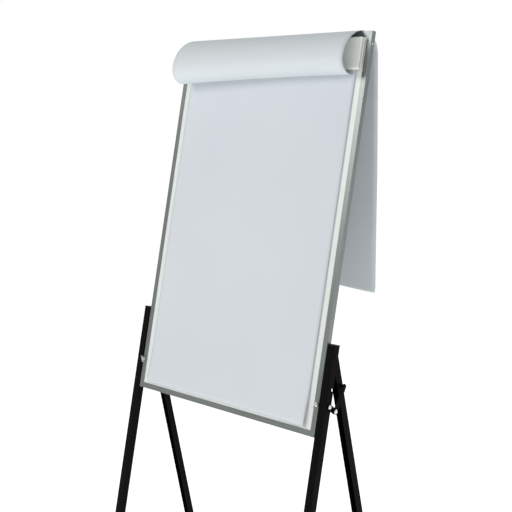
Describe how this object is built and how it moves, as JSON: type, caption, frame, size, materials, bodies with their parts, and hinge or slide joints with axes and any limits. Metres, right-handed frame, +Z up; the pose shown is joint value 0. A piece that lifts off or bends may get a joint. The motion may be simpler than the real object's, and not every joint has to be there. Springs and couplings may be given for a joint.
{
  "type": "flipchart easel",
  "caption": "Free-standing flipchart easel: a leaning framed whiteboard with a paper clamp and pad, on two folding steel legs with braces.",
  "frame": {"origin": "on the floor, under the middle of the open easel's outline", "axes": "+X to the viewer's right, -Y the front that is written on, +Z up"},
  "size_m": [0.6622, 0.4544, 1.6821],
  "materials": {
    "frame": "satin clear anodised extrusion",
    "black_steel": "black satin powder coat",
    "whiteboard": "glossy white enamel",
    "core": "pressed fibre board",
    "back": "grey primed zinc-coated sheet",
    "plated_steel": "bright zinc plated",
    "clamp": "light grey satin powder coat",
    "key": "mill finish",
    "black_plastic": "fine moulded texture",
    "black_rubber": "matt rubber",
    "paper": "plain uncoated paper",
    "backing_card": "grey board",
    "binding": "glued binding strip"
  },
  "bodies": {
    "easel": {"frame_rail_bottom": "frame", "frame_rail_top": "frame", "corner_keys": "key", "corner_screws": "plated_steel", "writing_sheet": "whiteboard", "board_core": "core", "back_sheet": "back", "clamp_studs": "plated_steel", "pad_backing": "backing_card", "pad_sheets": "paper", "pad_binding": "binding", "turned_sheets": "paper", "board_bolts": "plated_steel", "board_screws": "plated_steel", "frame_rail_right": "frame", "frame_rail_left": "frame", "front_leg_right": "black_steel", "front_leg_left": "black_steel", "leg_cap_right": "black_plastic", "leg_cap_left": "black_plastic", "front_foot_right": "black_rubber", "front_foot_left": "black_rubber", "leg_pivot_right": "black_steel", "leg_pivot_left": "black_steel", "brace_front_pin_right": "plated_steel", "brace_front_pin_left": "plated_steel", "lower_bracket_right": "black_steel", "lower_bracket_left": "black_steel", "upper_bracket_right": "black_steel", "upper_bracket_left": "black_steel"},
    "rear_leg_left": {"rear_leg_left": "black_steel", "rear_foot_left": "black_rubber", "brace_rear_pin_left": "black_steel"},
    "short_link_left": {"short_brace_link_left": "black_steel", "knee_pin_left": "plated_steel"},
    "long_link_left": {"long_brace_link_left": "black_steel"},
    "knob_left": {"clamp_knob_left": "black_plastic"},
    "wing_nut_left": {"wing_nut_left": "plated_steel"},
    "rear_leg_right": {"rear_leg_right": "black_steel", "rear_foot_right": "black_rubber", "brace_rear_pin_right": "black_steel"},
    "short_link_right": {"short_brace_link_right": "black_steel", "knee_pin_right": "plated_steel"},
    "long_link_right": {"long_brace_link_right": "black_steel"},
    "knob_right": {"clamp_knob_right": "black_plastic"},
    "wing_nut_right": {"wing_nut_right": "plated_steel"},
    "clamp": {"clamp_bar": "clamp", "clamp_washers": "plated_steel"}
  },
  "joints": [
    {"name": "clamp_slide", "type": "slide", "parent": "easel", "child": "clamp", "axis": [0, -0.9781, 0.2079], "range_m": [0, 0.003]},
    {"name": "rear_leg_fold_left", "type": "hinge", "parent": "easel", "child": "rear_leg_left", "pos_m": [-0.312, -0.00845, 0.97646], "axis": [-1, 0, 0], "range_deg": [0, 25]},
    {"name": "short_link_fold_left", "type": "hinge", "parent": "easel", "child": "short_link_left", "pos_m": [-0.3221, -0.02887, 0.86835], "axis": [-1, 0, 0], "range_deg": [0, 43.85]},
    {"name": "long_link_fold_left", "type": "hinge", "parent": "short_link_left", "child": "long_link_left", "pos_m": [-0.3266, -0.01508, 0.85678], "axis": [-1, 0, 0], "range_deg": [-63.82, 0]},
    {"name": "knob_turn_left", "type": "hinge", "parent": "clamp", "child": "knob_left", "pos_m": [-0.14, 0.11002, 1.63216], "axis": [0, -0.9781, 0.2079], "range_deg": [0, 1080]},
    {"name": "wing_nut_turn_left", "type": "hinge", "parent": "easel", "child": "wing_nut_left", "pos_m": [-0.2965, -0.03866, 0.87043], "axis": [0, -0.9781, 0.2079], "continuous": true},
    {"name": "rear_leg_fold_right", "type": "hinge", "parent": "easel", "child": "rear_leg_right", "pos_m": [0.312, -0.00845, 0.97646], "axis": [-1, 0, 0], "range_deg": [0, 25]},
    {"name": "short_link_fold_right", "type": "hinge", "parent": "easel", "child": "short_link_right", "pos_m": [0.3221, -0.02887, 0.86835], "axis": [-1, 0, 0], "range_deg": [0, 43.85]},
    {"name": "long_link_fold_right", "type": "hinge", "parent": "short_link_right", "child": "long_link_right", "pos_m": [0.3266, -0.01508, 0.85678], "axis": [-1, 0, 0], "range_deg": [-63.82, 0]},
    {"name": "knob_turn_right", "type": "hinge", "parent": "clamp", "child": "knob_right", "pos_m": [0.14, 0.11002, 1.63216], "axis": [0, -0.9781, 0.2079], "range_deg": [0, 1080]},
    {"name": "wing_nut_turn_right", "type": "hinge", "parent": "easel", "child": "wing_nut_right", "pos_m": [0.2965, -0.03866, 0.87043], "axis": [0, -0.9781, 0.2079], "continuous": true}
  ],
  "couplings": [
    {"joint": "short_link_fold_left", "follows": "rear_leg_fold_left", "ratio": 1.7535},
    {"joint": "long_link_fold_left", "follows": "rear_leg_fold_left", "ratio": -2.5526},
    {"joint": "knob_turn_left", "follows": "clamp_slide", "rad_per_m": 6283.2},
    {"joint": "short_link_fold_right", "follows": "rear_leg_fold_right", "ratio": 1.7535},
    {"joint": "long_link_fold_right", "follows": "rear_leg_fold_right", "ratio": -2.5526},
    {"joint": "knob_turn_right", "follows": "clamp_slide", "rad_per_m": 6283.2}
  ]
}
